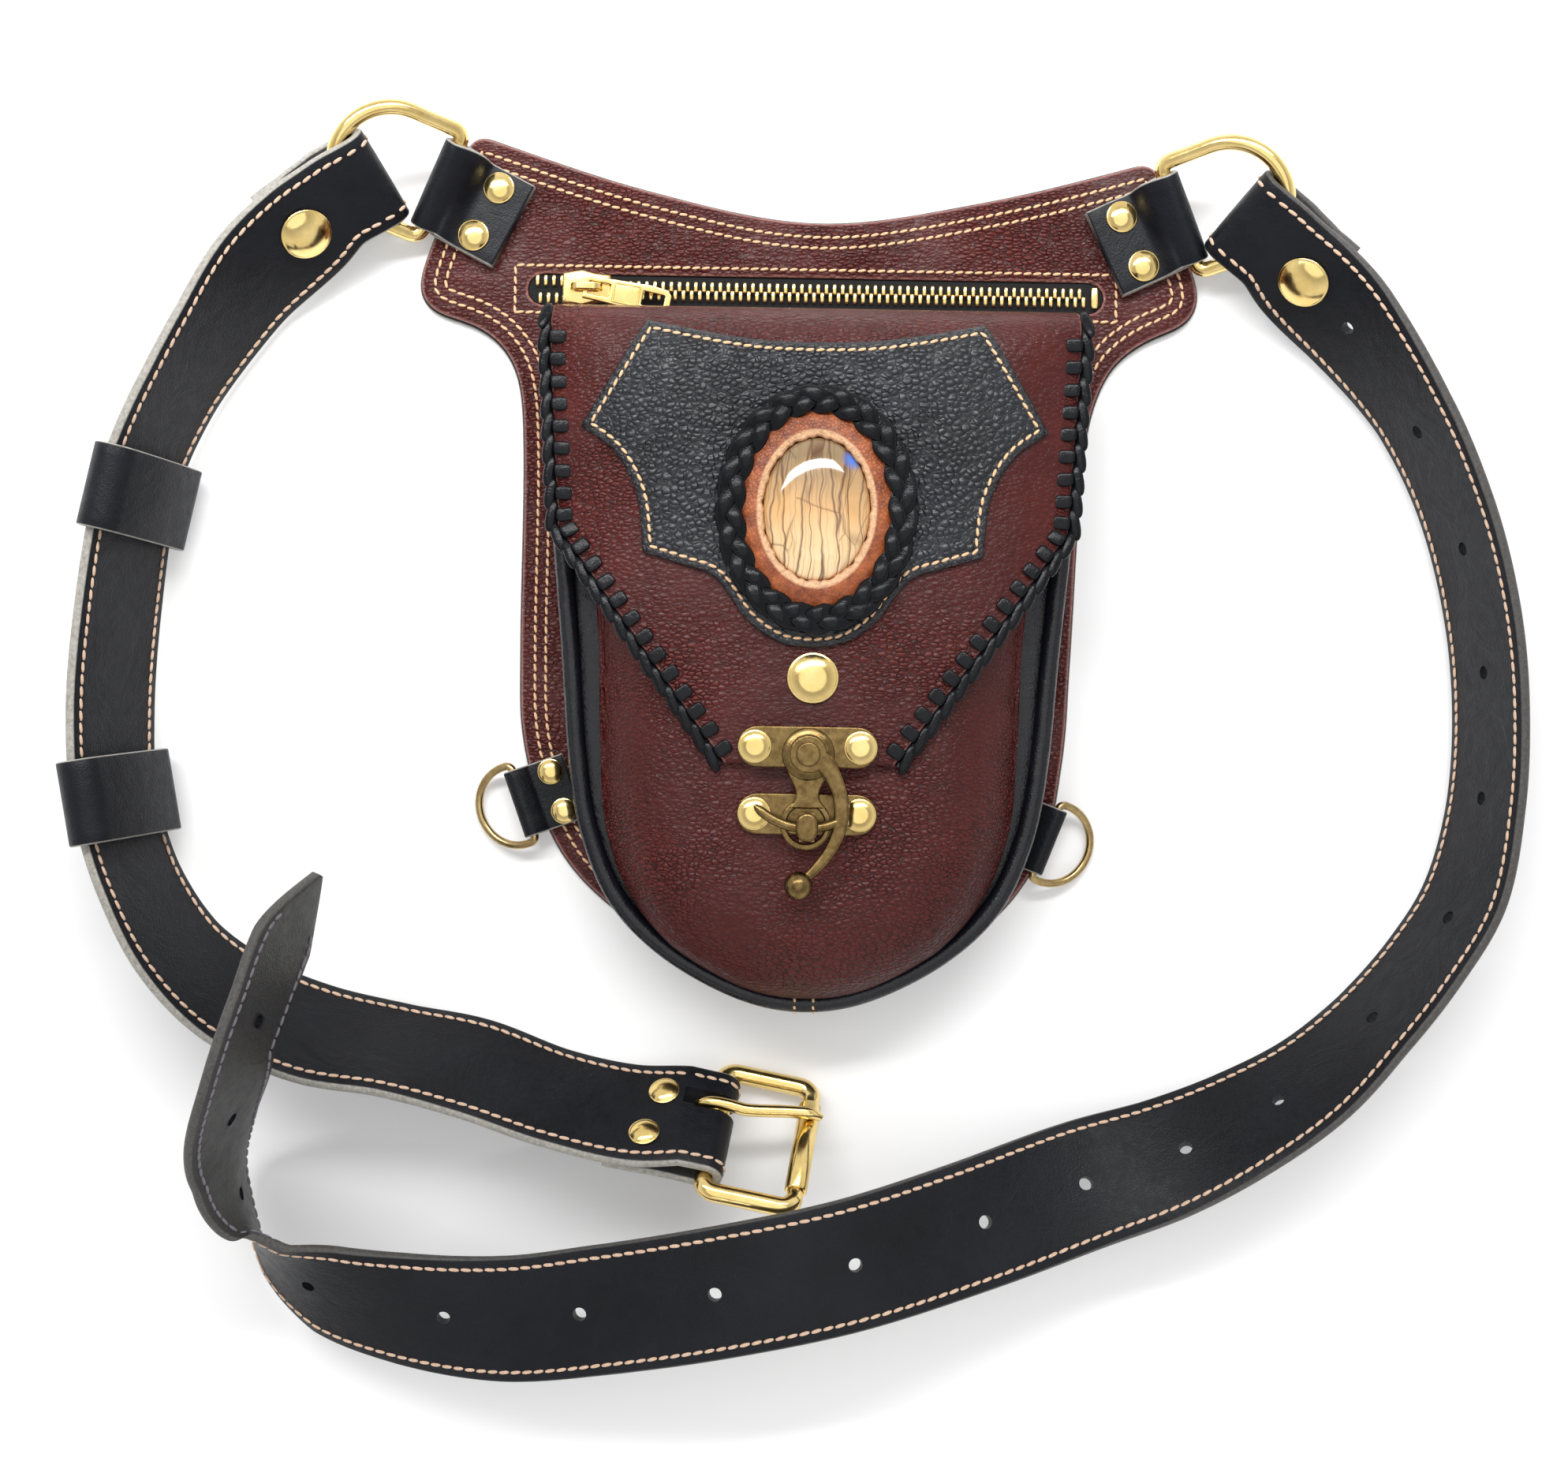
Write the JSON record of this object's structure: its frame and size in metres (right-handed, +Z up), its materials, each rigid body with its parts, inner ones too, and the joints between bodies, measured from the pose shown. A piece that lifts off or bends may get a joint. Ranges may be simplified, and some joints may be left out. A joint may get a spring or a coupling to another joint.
{
  "type": "leather hip bag",
  "caption": "Leather hip bag lying on its back: flapped pouch with a stone cabochon and swing clasp on a winged back panel with a zip, D-rings and a long two-part buckled belt.",
  "frame": {"origin": "middle of the bag's flat back face, on the surface that it lies on", "axes": "+X to the right of the bag as it lies, +Y towards the waist edge, +Z up, out of the flap"},
  "size_m": [0.4213, 0.3723, 0.0754],
  "materials": {
    "oxblood_leather": "pebbled, semi-matt",
    "black_leather": "smooth, satin",
    "bright_brass": "polished",
    "antique_brass": "aged",
    "tan_leather": "burnished",
    "cabochon": "polished",
    "zip_cloth": "woven"
  },
  "bodies": {
    "bag": {"back_panel": "oxblood_leather", "pouch_front": "oxblood_leather", "flap": "oxblood_leather", "back_layer": "black_leather", "pouch_gusset": "black_leather", "pouch_piping": "black_leather", "lacing_left": "black_leather", "lacing_right": "black_leather", "overlay": "black_leather", "braid_ring": "black_leather", "top_tab_left": "black_leather", "top_tab_right": "black_leather", "side_tab_left": "black_leather", "side_tab_right": "black_leather", "strap_left": "black_leather", "strap_left_end": "black_leather", "strap_right": "black_leather", "buckle_fold_inner": "black_leather", "buckle_fold_outer": "black_leather", "keeper_upper": "black_leather", "keeper_lower": "black_leather", "zip_teeth": "bright_brass", "zip_slider": "bright_brass", "flap_snap": "bright_brass", "top_ring_left": "bright_brass", "top_ring_right": "bright_brass", "strap_snap_left": "bright_brass", "strap_snap_right": "bright_brass", "buckle_rivet_1": "bright_brass", "buckle_rivet_2": "bright_brass", "clasp_rivet_1": "bright_brass", "clasp_rivet_2": "bright_brass", "clasp_rivet_3": "bright_brass", "clasp_rivet_4": "bright_brass", "top_rivet_left_1": "bright_brass", "top_rivet_left_2": "bright_brass", "top_rivet_right_1": "bright_brass", "top_rivet_right_2": "bright_brass", "side_rivet_left_1": "bright_brass", "side_rivet_left_2": "bright_brass", "side_rivet_right_1": "bright_brass", "side_rivet_right_2": "bright_brass", "clasp_upper_plate": "antique_brass", "clasp_lower_plate": "antique_brass", "bezel": "tan_leather", "stone": "cabochon", "zip_tape": "zip_cloth"},
    "side_ring_left": {"side_ring_left": "antique_brass"},
    "side_ring_right": {"side_ring_right": "antique_brass"},
    "zip_pull": {"zip_pull": "bright_brass"},
    "clasp_lever": {"clasp_lever": "antique_brass"},
    "buckle_frame": {"buckle_frame": "bright_brass"},
    "buckle_roller": {"buckle_roller": "bright_brass"},
    "buckle_prong": {"buckle_prong": "bright_brass"}
  },
  "joints": [
    {"name": "clasp_swing", "type": "hinge", "parent": "bag", "child": "clasp_lever", "pos_m": [-0.0003, -0.0297, 0.0551], "axis": [0, 0, 1], "range_deg": [0, 85]},
    {"name": "zip_pull_lift", "type": "hinge", "parent": "bag", "child": "zip_pull", "pos_m": [-0.0685, 0.1083, 0.0085], "axis": [-0.1734, -0.9848, 0.0091], "range_deg": [0, 120]},
    {"name": "side_ring_left_swing", "type": "hinge", "parent": "bag", "child": "side_ring_left", "pos_m": [-0.08467, -0.04591, 0.0069], "axis": [-0.3404, 0.9403, 0], "range_deg": [0, 110]},
    {"name": "side_ring_right_swing", "type": "hinge", "parent": "bag", "child": "side_ring_right", "pos_m": [0.0715, -0.05455, 0.0069], "axis": [-0.3616, -0.9323, 0], "range_deg": [0, 110]},
    {"name": "buckle_swing", "type": "hinge", "parent": "bag", "child": "buckle_frame", "pos_m": [-0.026, -0.1406, 0.0182], "axis": [-0.1349, -0.6941, 0.7071], "range_deg": [0, 20]},
    {"name": "prong_swing", "type": "hinge", "parent": "buckle_frame", "child": "buckle_prong", "pos_m": [-0.026, -0.1406, 0.0182], "axis": [-0.1349, -0.6941, 0.7071], "range_deg": [0, 100]},
    {"name": "roller_turn", "type": "hinge", "parent": "buckle_frame", "child": "buckle_roller", "pos_m": [0.0005, -0.14575, 0.0182], "axis": [-0.1349, -0.6941, 0.7071], "continuous": true}
  ]
}
